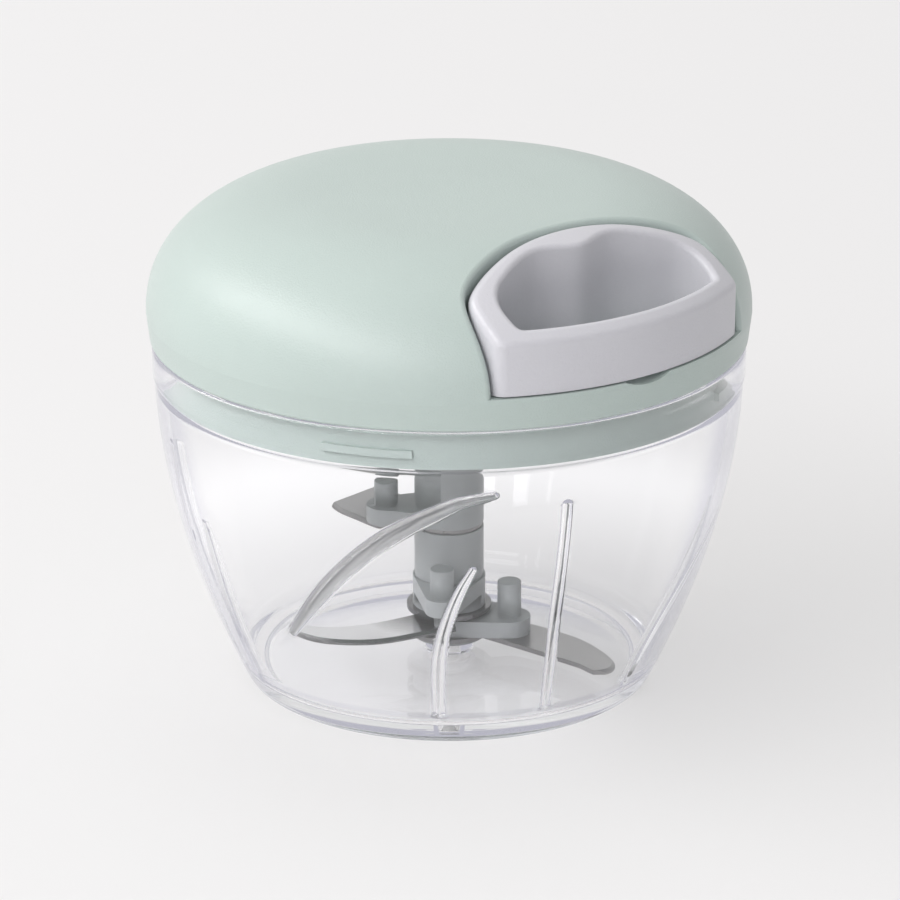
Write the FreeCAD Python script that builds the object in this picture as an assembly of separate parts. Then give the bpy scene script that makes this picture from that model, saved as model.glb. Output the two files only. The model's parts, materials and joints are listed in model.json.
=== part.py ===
import FreeCAD, Part
import math
import os
from FreeCAD import Vector

# Pull-string food chopper: a clear bowl, a domed lid that holds the pull-string drive, a pull
# handle that lies flush in the lid's side, and a tower with three blades that turns on a pin.
# Millimetres. The origin is on the table under the bowl's centre, Z is up, and the handle
# is pulled along -Y. Angles are counted from the pull direction, anticlockwise from above.

# Clearances: free-running, bearing, and parts that are pushed together
CLEAR = 0.3
BEARING = 0.05
SNUG = 0.1

# Bowl
LID_R = 60.0
LID_OVERHANG = 1.0
BOWL_STEP = 0.4
BOWL_RIM_Z = 70.5
BOWL_COLLAR_H = 7.0
BOWL_FOOT_R = 41.3
BOWL_FOOT_W = 3.8
BOWL_FOOT_H = 1.0
BOWL_FOOT_FLARE = 0.6
BOWL_FOOT_ROUND = 1.5
BOWL_WALL = 2.3
BOWL_CURVE = 1.8
BOWL_FLOOR_H = 3.0
BOWL_CORNER = 3.0
BOSS_R = 4.6
BOSS_H = 2.2

# Ribs moulded on the inside of the bowl
RIB_W = 2.2
RIB_TIP_W = 0.9
RIB_DEPTH = 1.5

# Path of each rib up the wall, as angle and distance below the rim
RIB_PATHS = (((-77.0, 47.9), (-70.9, 41.3), (-64.6, 34.5), (-57.6, 27.7), (-52.0, 23.0),
              (-46.8, 19.5), (-41.8, 16.8), (-36.9, 14.6), (-30.3, 13.2)),
             ((-41.7, 68.0), (-41.7, 58.0), (-41.4, 51.0), (-40.4, 44.5), (-38.8, 39.0),
              (-36.7, 33.6), (-34.2, 28.8)),
             ((-12.4, 68.0), (-13.6, 60.5), (-14.8, 51.5), (-15.7, 39.5), (-15.6, 17.0), (-15.6, 15.7)),
             ((13.5, 68.0), (16.0, 59.0), (19.5, 51.0), (25.0, 43.5), (32.0, 36.5), (40.0, 31.0)),
             ((-100.5, 68.0), (-99.2, 38.0), (-99.4, 29.5)),
             ((-108.5, 68.0), (-110.0, 17.0), (-110.0, 15.5)))

# Bayonet: ledges inside the bowl's collar and lugs on the lid's neck
BAYONETS = 4
BAYONET_REACH = 0.75
BAYONET_H = 1.4
LEDGE_DROP = 2.5
LEDGE_SPAN = 24.0
LUG_SPAN = 18.0
LUG_START = 26.0

# Pin in the bowl's floor
PIN_R = 2.0
PIN_SINK = 2.0
PIN_REACH = 13.0
PIN_BUSH_H = 14.0

# Lid base: neck, floor and the flange that carries the seal
NECK_GAP = 1.1
NECK_WALL = 2.0
NECK_DEPTH = 7.9
FLOOR_DEPTH = 6.5
FLOOR_H = 1.8
FLANGE_H = 1.8
SEAL_H = 0.8
SEAL_W = 1.5

# Top cover
SKIRT_LIFT = 0.4
SKIRT_DRAFT = 0.6
SKIRT_ROUND = 0.5
SIDE_H = 5.6
SHOULDER_A = 33.0
SHOULDER_B = 23.0
SHOULDER_P = 2.2
CROWN_H = 1.5
COVER_WALL = 1.8
COVER_BOSS_R = 3.6
COVER_BOSS_GAP = 3.0
COVER_BOSS_ANGLES = (90.0, 150.0, 210.0, 270.0)

# Handle recess in the cover
RECESS_GAP = 0.6
RECESS_WALL = 2.2
RECESS_SILL = 6.6
RECESS_LIP = 1.0
SCOOP_R = 14.0
SCOOP_DEPTH = 1.2

# Pull handle, its plan given from the middle outward as sideways distance and distance in from
# the lid's side
HANDLE_INSET = 0.4
HANDLE_HALF = ((0.0, 27.4), (6.0, 27.1), (12.5, 26.0), (19.5, 23.9), (25.2, 21.6), (28.3, 19.4),
               (29.6, 16.4), (30.0, 12.8), (30.0, 8.4), (30.1, -2.0))
HANDLE_CROWN_OUT = 6.6
HANDLE_RISE = 23.7
HANDLE_POWER = 1.7
HANDLE_CROWN_H = 1.2
HANDLE_ROUND = 2.0
HANDLE_CORNER = 3.0
HOLE_HALF = ((0.0, 20.3), (4.2, 21.3), (8.8, 22.4), (13.2, 21.8), (18.2, 19.9), (22.2, 17.8),
             (24.2, 15.0), (24.5, 12.0), (24.2, 9.6))
HANDLE_FRONT_WALL = 3.6
HOLE_CORNER = 2.0
HOLE_ROUND = 1.2

# Cord, its knot in the handle and its eyelet in the recess wall
CORD_R = 0.8
CORD_RISE = 5.1
CORD_TURNS = (345.0, 190.0)
CORD_PITCH = 1.8
CORD_FIRST_TURN = 330.0
CORD_BEND = 5.0
KNOT_R = 1.8
KNOT_DEPTH = 3.6
EYELET_R = 2.6
EYELET_FLANGE_R = 3.6
EYELET_FLANGE_H = 0.8

# Cord reel
REEL_BACK_GAP = 3.0
REEL_FLANGE_REACH = 5.0
DRUM_WALL = 2.4
REEL_FLANGE_H = 1.2
REEL_WEB_H = 1.8
REEL_SPIGOT_H = 1.4

# Clutch: ratchet wheel and pawls
RATCHET_TEETH = 12
RATCHET_TOOTH = 2.3
RATCHET_LIFT = 1.8
RATCHET_H = 4.4
PAWLS = 3
PAWL_H = 3.4
PAWL_PIVOT_INSET = 1.9
PAWL_REACH = 4.0
PAWL_PIVOT_ANGLE = 42.0
PAWL_PIN_R = 1.5
PAWL_HEAD_R = 2.4
PAWL_HEAD_H = 1.0
PAWL_EYE_R = 2.6

# Pawl outline, each corner as its height over the tooth roots and its angle
PAWL_INNER = ((0.6, -1.6), (1.7, -12.0), (3.3, -29.0))
PAWL_OUTER = ((2.0, -1.6), (5.5, -22.0))

# Drive shaft, its bush and washer, and the clip that keeps the reel on it
SHAFT_R = 5.0
JOURNAL_R = 4.0
HEX_FLATS = 8.0
HEX_LENGTH = 12.0
SHAFT_FLANGE_R = 10.0
SHAFT_FLANGE_H = 1.6
BUSH_R = 8.0
BUSH_PROUD = 0.8
BUSH_FLANGE_H = 1.2
WASHER_R = 9.0
WASHER_H = 0.8
CLIP_R = 6.2
CLIP_H = 0.6
CLIP_GROOVE = 0.5

# Mainspring, its arbor and the bridge
ARBOR_R = 4.6
SPRING_STRIP = 0.4
SPRING_PITCH = 1.7
SPRING_W = 12.0
BRIDGE_LIFT = 1.4
BRIDGE_H = 2.4
BRIDGE_HUB_R = 11.0
BRIDGE_ARM_W = 9.0
POST_AT = 33.5
POST_R = 4.0
POST_ANGLES = (180.0, 295.0, 65.0)

# Screws
SCREW_R = 1.5
SCREW_HEAD_R = 2.8
SCREW_HEAD_H = 1.6
SCREW_BITE = 6.5

# Blade tower
TOWER_CORE_R = 5.6
TOWER_BORE_R = 4.2
TOWER_SLEEVE_R = 7.0
TOWER_COLLAR_R = 7.35
TOWER_HEAD_R = 7.6
TOWER_HEAD_H = 14.6
TOWER_NUT_H = 1.0
BLADE_T = 1.0
LOWER_HUB_H = 3.9
MIDDLE_HUB_H = 6.1
SLEEVE_H = 10.7
ARM_REACH = 12.7
ARM_END_R = 4.3
MIDDLE_ARM_END_R = 3.3
UPPER_ARM_END_R = 4.0
ARM_H = 3.4
PEG_R = 2.4
RIVET_R = 1.6
LOWER_PEG_H = 7.4
MIDDLE_PEG_H = 6.0
UPPER_PEG_H = 5.0
LOWER_ARM_ANGLE = 34.5
MIDDLE_ARM_ANGLE = -45.5
UPPER_ARM_ANGLE = -126.0
BLADE_ROOT_R = 8.6
BLADE_SEAT_R = 6.7
BLADE_EDGE = 0.6
BLADE_GAP = 2.5
BLADE_DRAWN_R = 39.6

# Blade outlines from the arm's side outward: X runs along the arm, Y towards the turning side
LOWER_FRONT = ((12.0, 6.0), (17.0, 5.0), (22.3, 3.1), (29.6, -0.6), (34.2, -4.7), (37.2, -8.6),
               (37.9, -11.6), (36.7, -14.3))
LOWER_TIP = (34.4, -15.1)
LOWER_BACK = ((31.1, -12.7), (24.7, -9.9), (13.1, -5.2))
MIDDLE_FRONT = ((14.0, 3.0), (16.2, -1.8), (19.6, -6.9), (22.3, -12.4), (23.2, -18.3), (22.4, -24.4),
                (19.8, -28.6), (17.8, -30.4))
MIDDLE_TIP = (15.9, -30.2)
MIDDLE_BACK = ((15.4, -28.6), (16.6, -24.6), (15.2, -17.6), (11.6, -11.0), (7.0, -5.0))
UPPER_FRONT = ((11.0, 4.0), (15.0, 2.2), (19.0, -2.4), (22.4, -6.6), (24.0, -10.0))
UPPER_TIP = (14.2, -19.2)
UPPER_BACK = ((8.5, -13.0), (5.0, -7.0))

# Heights and radii that follow from the values above
STEP_Z = BOWL_RIM_Z - BOWL_COLLAR_H
FLOOR_TOP_Z = BOWL_FOOT_H + BOWL_FLOOR_H
COLLAR_R = LID_R - LID_OVERHANG
SHOULDER_R = COLLAR_R - BOWL_STEP
COLLAR_IN_R = COLLAR_R - BOWL_WALL
NECK_R = COLLAR_IN_R - NECK_GAP
NECK_IN_R = NECK_R - NECK_WALL
NECK_LOW_Z = BOWL_RIM_Z - NECK_DEPTH
LEDGE_Z = BOWL_RIM_Z - LEDGE_DROP - BAYONET_H
FLANGE_Z = BOWL_RIM_Z + SEAL_H
LID_FLOOR_Z = BOWL_RIM_Z - FLOOR_DEPTH
LID_UNDER_Z = LID_FLOOR_Z - FLOOR_H
SKIRT_R = LID_R - SKIRT_DRAFT
SKIRT_Z = BOWL_RIM_Z + SKIRT_LIFT
FLANGE_R = SKIRT_R - COVER_WALL - SNUG
SIDE_Z = SKIRT_Z + SIDE_H
SHOULDER_Z = SIDE_Z + SHOULDER_B
CROWN_Z = SHOULDER_Z + CROWN_H
SILL_Z = SKIRT_Z + RECESS_SILL
HANDLE_R = LID_R - HANDLE_INSET
HANDLE_LOW_Z = SILL_Z + CLEAR
CORD_Z = SILL_Z + CORD_RISE
HANDLE_BACK = LID_R - HANDLE_HALF[0][1]
RECESS_BACK = HANDLE_BACK - RECESS_GAP
RECESS_INSIDE = RECESS_BACK - RECESS_WALL
KNOT_AT = HANDLE_BACK + KNOT_DEPTH
HOLE_FRONT = HANDLE_R - HANDLE_FRONT_WALL
COVER_BOSS_AT = NECK_IN_R - COVER_BOSS_GAP - COVER_BOSS_R
REEL_FLANGE_R = RECESS_INSIDE - EYELET_FLANGE_H - REEL_BACK_GAP
DRUM_R = REEL_FLANGE_R - REEL_FLANGE_REACH
PAWL_PIVOT_R = DRUM_R - PAWL_PIVOT_INSET
RATCHET_TIP_R = PAWL_PIVOT_R - PAWL_REACH
RATCHET_ROOT_R = RATCHET_TIP_R - RATCHET_TOOTH
BUSH_TOP_Z = LID_FLOOR_Z + BUSH_PROUD
RATCHET_Z = BUSH_TOP_Z + RATCHET_LIFT
RATCHET_TOP_Z = RATCHET_Z + RATCHET_H
WEB_Z = RATCHET_TOP_Z + 2 * CLEAR
WEB_TOP_Z = WEB_Z + REEL_WEB_H
SPRING_Z = WEB_TOP_Z + CLIP_H + 2 * CLEAR
SPRING_TOP_Z = SPRING_Z + SPRING_W
FLANGE_TOP_Z = CORD_Z - CORD_R - CLEAR
CAP_Z = SPRING_TOP_Z + REEL_SPIGOT_H + CLEAR
REEL_TOP_Z = CAP_Z + REEL_FLANGE_H
ARBOR_Z = WEB_TOP_Z + CLIP_H + 2 * CLEAR
BRIDGE_Z = REEL_TOP_Z + BRIDGE_LIFT
BRIDGE_TOP_Z = BRIDGE_Z + BRIDGE_H
SPOOL_R = DRUM_R + CORD_R + BEARING
TOWER_Z = FLOOR_TOP_Z + BOSS_H + CLEAR
LOWER_BLADE_Z = TOWER_Z + TOWER_NUT_H
LOWER_HUB_Z = LOWER_BLADE_Z + BLADE_T
MIDDLE_BLADE_Z = LOWER_HUB_Z + LOWER_HUB_H
MIDDLE_HUB_Z = MIDDLE_BLADE_Z + BLADE_T
SLEEVE_Z = MIDDLE_HUB_Z + MIDDLE_HUB_H
UPPER_BLADE_Z = SLEEVE_Z + SLEEVE_H
UPPER_HUB_Z = UPPER_BLADE_Z + BLADE_T
SHAFT_FLANGE_Z = LID_UNDER_Z - BUSH_FLANGE_H - WASHER_H - SHAFT_FLANGE_H
TOWER_TOP_Z = SHAFT_FLANGE_Z - 2 * CLEAR
TOWER_HEAD_Z = TOWER_TOP_Z - TOWER_HEAD_H
HEX_Z = SHAFT_FLANGE_Z - HEX_LENGTH
FAR = 2 * LID_R


def save(shape, name):
    """Write one sub-part."""
    shape = shape.removeSplitter()
    shape.exportStep("parts/" + name + ".step")
    print(name, len(shape.Solids), "solids, valid", shape.isValid(), "volume", round(shape.Volume, 1))


def point(radius, angle, z=0.0):
    """Point at an angle from the pull direction."""
    turn = math.radians(angle - 90.0)
    return Vector(radius * math.cos(turn), radius * math.sin(turn), z)


def turned(shape, angle):
    """Copy of a shape turned about the Z axis."""
    copy = shape.copy()
    copy.rotate(Vector(), Vector(0, 0, 1), angle)
    return copy


def disc(radius, low, high, at=Vector()):
    """Upright cylinder."""
    return Part.makeCylinder(radius, high - low, Vector(at.x, at.y, low))


def ring(outer, inner, low, high, at=Vector()):
    """Upright tube."""
    return disc(outer, low, high, at).cut(disc(inner, low - 1, high + 1, at))


def chain(pieces):
    """Closed wire through corner points, with a smooth curve for each list of points."""
    runs = [piece if isinstance(piece, list) else [piece] for piece in pieces]
    edges = []
    for run, following in zip(runs, runs[1:] + runs[:1]):
        if len(run) > 1:
            spline = Part.BSplineCurve()
            spline.interpolate(run)
            edges.append(spline.toShape())
        if run[-1].distanceToPoint(following[0]) > 1e-6:
            edges.append(Part.makeLine(run[-1], following[0]))
    return Part.Wire(edges)


def lathe(pieces):
    """Turn a closed section of radius and height corners and curves about the Z axis."""
    section = [[Vector(r, 0, z) for r, z in piece] if isinstance(piece, list)
               else Vector(piece[0], 0, piece[1]) for piece in pieces]
    return Part.Face(chain(section)).revolve(Vector(), Vector(0, 0, 1), 360)


def flat(pieces, z):
    """Flat face with the plan outline given."""
    return Part.Face(chain([[Vector(x, y, z) for x, y in piece] if isinstance(piece, list)
                            else Vector(piece[0], piece[1], z) for piece in pieces]))


def raised(face, height):
    """Extrude a flat face upward."""
    return face.extrude(Vector(0, 0, height))


def sector(outer, inner, low, high, start, span):
    """Part of an upright ring."""
    block = Part.makeCylinder(outer, high - low, Vector(0, 0, low), Vector(0, 0, 1), span)
    return turned(block, start - 90.0).cut(disc(inner, low - 1, high + 1))


def hexagon(flats, low, high):
    """Upright hexagonal bar."""
    corner = flats / math.sqrt(3)
    marks = [point(corner, 60 * i, low) for i in range(7)]
    return raised(Part.Face(Part.makePolygon(marks)), high - low)


def bowl_radius(z):
    """Outer radius of the bowl's wall between the foot and the collar."""
    share = (z - BOWL_FOOT_ROUND) / (STEP_Z - BOWL_FOOT_ROUND)
    low = BOWL_FOOT_R + BOWL_FOOT_FLARE
    return low + (SHOULDER_R - low) * (1 - (1 - share) ** BOWL_CURVE)


def bowl_curve(low, high, inset, count):
    """Points up the bowl's wall, moved in by a wall thickness."""
    steps = [low + (high - low) * i / (count - 1) for i in range(count)]
    return [(bowl_radius(z) - inset, z) for z in steps]


def bowl():
    """Clear bowl with its foot ring, collar, pin boss, ribs and bayonet ledges."""
    foot_in = BOWL_FOOT_R - BOWL_FOOT_W
    body = lathe([(0, BOWL_FOOT_H), (foot_in, BOWL_FOOT_H), (foot_in, 0), (BOWL_FOOT_R, 0),
                  bowl_curve(BOWL_FOOT_ROUND, STEP_Z, 0, 9), (COLLAR_R, STEP_Z + BOWL_STEP),
                  (COLLAR_R, BOWL_RIM_Z), (0, BOWL_RIM_Z)])
    corner_z = FLOOR_TOP_Z + BOWL_CORNER
    wall_top_z = NECK_LOW_Z - 2 * CLEAR
    hollow = lathe([(0, FLOOR_TOP_Z), (bowl_radius(corner_z) - BOWL_WALL - BOWL_CORNER, FLOOR_TOP_Z),
                    bowl_curve(corner_z, wall_top_z, BOWL_WALL, 8), (COLLAR_IN_R, NECK_LOW_Z - CLEAR),
                    (COLLAR_IN_R, BOWL_RIM_Z + 1), (0, BOWL_RIM_Z + 1)])
    inset = BOWL_WALL + RIB_DEPTH
    rib_zone = body.cut(lathe([(0, -1), (bowl_radius(FLOOR_TOP_Z) - inset, -1),
                               bowl_curve(FLOOR_TOP_Z, wall_top_z, inset, 8), (0, wall_top_z)]))
    ribs = [rib(path).common(rib_zone) for path in RIB_PATHS]
    ledges = [sector(COLLAR_IN_R + SNUG, COLLAR_IN_R - BAYONET_REACH, LEDGE_Z, LEDGE_Z + BAYONET_H,
                     i * 360.0 / BAYONETS, LEDGE_SPAN) for i in range(BAYONETS)]
    boss = disc(BOSS_R, FLOOR_TOP_Z - SNUG, FLOOR_TOP_Z + BOSS_H)
    shell = body.cut(hollow).multiFuse(ribs + ledges + [boss])
    return shell.cut(disc(PIN_R, PIN_SINK, BOWL_RIM_Z))


def rib(path):
    """Bar across the bowl's wall along a path, narrowed at its upper end."""
    start = BOWL_FOOT_R - BOWL_CORNER - BOWL_WALL - RIB_DEPTH
    places = [(angle, BOWL_RIM_Z - drop) for angle, drop in path]
    frames = []
    for i, (angle, z) in enumerate(places):
        before = places[max(i - 1, 0)]
        after = places[min(i + 1, len(places) - 1)]
        along = Vector(math.radians(after[0] - before[0]) * bowl_radius(z), after[1] - before[1], 0)
        along = along.normalize() * (RIB_TIP_W / 2 if after == places[i] else RIB_W / 2)
        side = point(along.y, angle + 90.0, -along.x)
        inner, outer = point(start, angle, z), point(LID_R, angle, z)
        frames.append(Part.makePolygon([inner - side, outer - side, outer + side, inner + side,
                                        inner - side]))
    bars = [Part.makeLoft([low, high], True, True) for low, high in zip(frames, frames[1:])]
    return bars[0].multiFuse(bars[1:])


def pivot_pin():
    """Pin in the bowl's boss with a rounded end."""
    top = FLOOR_TOP_Z + PIN_REACH
    pin = disc(PIN_R, PIN_SINK, top)
    return pin.makeFillet(PIN_R / 2, [edge for edge in pin.Edges if edge.BoundBox.ZMin > top - SNUG])


def lid_seal():
    """Silicone ring that lies on the bowl's rim under the lid's flange."""
    inner = NECK_R + CLEAR
    return ring(inner + SEAL_W, inner, BOWL_RIM_Z, FLANGE_Z)


def lid_base():
    """Neck, floor and flange, with lugs, posts for the bridge and holes for shaft and screws."""
    body = lathe([(BUSH_R, LID_UNDER_Z), (NECK_IN_R, LID_UNDER_Z), (NECK_IN_R, NECK_LOW_Z),
                  (NECK_R, NECK_LOW_Z), (NECK_R, FLANGE_Z), (FLANGE_R, FLANGE_Z),
                  (FLANGE_R, FLANGE_Z + FLANGE_H), (NECK_IN_R, FLANGE_Z + FLANGE_H),
                  (NECK_IN_R, LID_FLOOR_Z), (BUSH_R, LID_FLOOR_Z)])
    lug_top_z = LEDGE_Z - CLEAR
    lugs = [sector(NECK_R + BAYONET_REACH, NECK_R - SNUG, lug_top_z - BAYONET_H, lug_top_z,
                   LUG_START + i * 360.0 / BAYONETS, LUG_SPAN) for i in range(BAYONETS)]
    posts = [disc(POST_R, LID_FLOOR_Z - SNUG, BRIDGE_Z, point(POST_AT, angle))
             for angle in POST_ANGLES]
    body = body.multiFuse(lugs + posts)
    for angle in POST_ANGLES:
        body = body.cut(disc(SCREW_R, BRIDGE_Z - SCREW_BITE, FAR, point(POST_AT, angle)))
    for angle in COVER_BOSS_ANGLES:
        body = body.cut(disc(SCREW_R, 0, LID_FLOOR_Z + 1, point(COVER_BOSS_AT, angle)))
    return body


def crown_curve(edge_r, rise, power, crown, inset=0.0):
    """Points from the side up over the shoulder to the middle of the top."""
    centre_r = LID_R - SHOULDER_A
    edge_r = edge_r - inset
    steps = 12
    curve = []
    for i in range(steps + 1):
        turn = math.pi / 2 * i / steps
        radius = centre_r + (edge_r - centre_r) * math.cos(turn) ** (2 / power)
        lift = (rise - inset) * math.sin(turn) ** (2 / power)
        curve.append((radius, SIDE_Z + lift + crown * (1 - (radius / edge_r) ** 2)))
    for i in range(1, 5):
        radius = centre_r * (1 - i / 4)
        curve.append((radius, SIDE_Z + rise - inset + crown * (1 - (radius / edge_r) ** 2)))
    return curve


def dome(inset):
    """Solid dome from the skirt to the crown, smaller by the inset."""
    if inset:
        foot = [(SKIRT_R - inset, SKIRT_Z - 1)]
    else:
        foot = [(SKIRT_R - SKIRT_ROUND, SKIRT_Z), (SKIRT_R, SKIRT_Z + SKIRT_ROUND)]
    return lathe([(0, foot[0][1])] + foot
                 + [crown_curve(LID_R, SHOULDER_B, SHOULDER_P, CROWN_H, inset)])


def mirrored(half):
    """Run of plan points from left to right, from the half plan that starts in the middle."""
    return ([(-x, y - LID_R) for x, y in reversed(half[1:])]
            + [(x, y - LID_R) for x, y in half])


def grown(run, offset):
    """Plan points moved outward by the offset, square to the run."""
    moved = []
    for i, (x, y) in enumerate(run):
        before = run[max(i - 1, 0)]
        after = run[min(i + 1, len(run) - 1)]
        along = Vector(after[0] - before[0], after[1] - before[1], 0).normalize()
        moved.append((x - offset * along.y, y + offset * along.x))
    return moved


def handle_space(offset, low):
    """Space of the handle in plan, grown by the offset, open outward and upward."""
    return raised(flat([grown(mirrored(HANDLE_HALF), offset)], low), FAR)


def leaning(shape, low):
    """Edges above a height that don't stand upright."""
    return [edge for edge in shape.Edges if edge.BoundBox.ZMin > low
            and edge.BoundBox.XLength + edge.BoundBox.YLength > CLEAR]


def on_wall(edge, tool):
    """Whether the middle of an edge lies on the wall that a tool has cut."""
    middle = edge.valueAt((edge.FirstParameter + edge.LastParameter) / 2)
    return tool.distToShape(Part.Vertex(middle))[0] < BEARING


def top_cover():
    """Domed cover with the handle's recess, screw bosses, finger scoop and eyelet hole."""
    space = handle_space(RECESS_GAP, SILL_Z)
    outside = dome(0).cut(space)
    lip = [edge for edge in outside.Edges if on_wall(edge, space)
           and edge.BoundBox.ZLength > RECESS_LIP and edge.BoundBox.YLength > RECESS_LIP]
    outside = outside.makeFillet(RECESS_LIP, lip)
    inside = dome(COVER_WALL).cut(handle_space(RECESS_GAP + RECESS_WALL, SILL_Z - COVER_WALL))
    bosses = [disc(COVER_BOSS_R, LID_FLOOR_Z, CROWN_Z, point(COVER_BOSS_AT, angle)).common(
        dome(COVER_WALL / 2)) for angle in COVER_BOSS_ANGLES]
    stubs = [disc(COVER_BOSS_R, LID_FLOOR_Z, SIDE_Z, point(COVER_BOSS_AT, angle))
             for angle in COVER_BOSS_ANGLES]
    shell = outside.cut(inside).multiFuse(bosses + stubs)
    for angle in COVER_BOSS_ANGLES:
        shell = shell.cut(disc(SCREW_R, 0, LID_FLOOR_Z + SCREW_BITE + SNUG,
                               point(COVER_BOSS_AT, angle)))
    scoop = Part.makeSphere(SCOOP_R, Vector(0, -LID_R, SILL_Z + SCOOP_R - SCOOP_DEPTH))
    barrel = Part.makeCylinder(EYELET_R, 4 * RECESS_WALL,
                               Vector(0, -RECESS_BACK - RECESS_WALL, CORD_Z), Vector(0, 1, 0))
    return shell.cut(scoop).cut(barrel)


def cover_screws():
    """Screws from under the lid's floor into the cover's bosses."""
    group = []
    for angle in COVER_BOSS_ANGLES:
        at = point(COVER_BOSS_AT, angle)
        shank = disc(SCREW_R, LID_UNDER_Z, LID_FLOOR_Z + SCREW_BITE, at)
        group.append(disc(SCREW_HEAD_R, LID_UNDER_Z - SCREW_HEAD_H, LID_UNDER_Z, at).fuse(shank))
    return Part.makeCompound(group)


def bridge_screws():
    """Screws through the bridge into the lid base's posts."""
    group = []
    for angle in POST_ANGLES:
        at = point(POST_AT, angle)
        shank = disc(SCREW_R, BRIDGE_Z - SCREW_BITE, BRIDGE_TOP_Z, at)
        group.append(disc(SCREW_HEAD_R, BRIDGE_TOP_Z, BRIDGE_TOP_Z + SCREW_HEAD_H, at).fuse(shank))
    return Part.makeCompound(group)


def mechanism_bridge():
    """Three-armed bridge over the reel that holds the spring arbor."""
    body = disc(BRIDGE_HUB_R, BRIDGE_Z, BRIDGE_TOP_Z)
    for angle in POST_ANGLES:
        arm = Part.makeBox(POST_AT, BRIDGE_ARM_W, BRIDGE_H, Vector(0, -BRIDGE_ARM_W / 2, BRIDGE_Z))
        at = point(POST_AT, angle)
        body = body.multiFuse([turned(arm, angle - 90.0), disc(BRIDGE_ARM_W / 2, BRIDGE_Z,
                                                               BRIDGE_TOP_Z, at)])
    for angle in POST_ANGLES:
        body = body.cut(disc(SCREW_R, 0, FAR, point(POST_AT, angle)))
    return body.cut(disc(ARBOR_R, 0, FAR))


def spring_arbor():
    """Fixed post with the slot that the mainspring's inner end is hooked into."""
    slot = Part.makeBox(ARBOR_R, SPRING_STRIP + 2 * SNUG, SPRING_W,
                        Vector(0, -SPRING_STRIP / 2 - SNUG, SPRING_Z))
    return disc(ARBOR_R, ARBOR_Z, BRIDGE_TOP_Z).cut(slot)


def mainspring():
    """Flat spiral of half turns between the arbor and the wall of the reel's drum."""
    radius = ARBOR_R + 2 * CLEAR
    half = SPRING_STRIP / 2
    limit = DRUM_R - DRUM_WALL - 2 * CLEAR
    centre = 0.0
    side = 1
    outer = []
    inner = []
    while radius + SPRING_PITCH / 2 < limit:
        for run, shift in ((outer, half), (inner, -half)):
            reach = radius + shift
            start = Vector(centre + side * reach, 0, SPRING_Z)
            middle = Vector(centre, side * reach, SPRING_Z)
            end = Vector(centre - side * reach, 0, SPRING_Z)
            run.append(Part.Arc(start, middle, end).toShape())
        centre += side * SPRING_PITCH / 2
        radius += SPRING_PITCH / 2
        side = -side
    caps = [Part.makeLine(run_a.valueAt(at_a), run_b.valueAt(at_b))
            for run_a, at_a, run_b, at_b in (
                (outer[0], outer[0].FirstParameter, inner[0], inner[0].FirstParameter),
                (outer[-1], outer[-1].LastParameter, inner[-1], inner[-1].LastParameter))]
    wire = Part.Wire(Part.__sortEdges__(outer + caps + inner))
    return raised(Part.Face(wire), SPRING_W)


def cord_eyelet():
    """Flanged eyelet in the recess wall, with a mouth that the cord bends round."""
    start = -RECESS_BACK
    barrel = Part.makeCylinder(EYELET_R, RECESS_WALL, Vector(0, start, CORD_Z), Vector(0, 1, 0))
    flange = Part.makeCylinder(EYELET_FLANGE_R, EYELET_FLANGE_H,
                               Vector(0, start + RECESS_WALL, CORD_Z), Vector(0, 1, 0))
    bore = Part.makeCylinder(CORD_R + CLEAR, FAR, Vector(0, -FAR / 2, CORD_Z), Vector(0, 1, 0))
    mouth = Part.makeCone(CORD_R + CLEAR, EYELET_R, EYELET_FLANGE_H + SNUG,
                          Vector(0, start + RECESS_WALL, CORD_Z), Vector(0, 1, 0))
    return barrel.fuse(flange).cut(bore).cut(mouth)


def shaft_bush():
    """Flanged bush for the drive shaft, pushed up through the lid's floor."""
    barrel = disc(BUSH_R, LID_UNDER_Z, BUSH_TOP_Z)
    flange = disc(SHAFT_FLANGE_R, LID_UNDER_Z - BUSH_FLANGE_H, LID_UNDER_Z)
    return barrel.fuse(flange).cut(disc(SHAFT_R + BEARING, 0, FAR))


def shaft_washer():
    """Soft washer that keeps juice out of the bush."""
    low = LID_UNDER_Z - BUSH_FLANGE_H - WASHER_H
    return ring(WASHER_R, SHAFT_R + CLEAR, low, low + WASHER_H)


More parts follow.
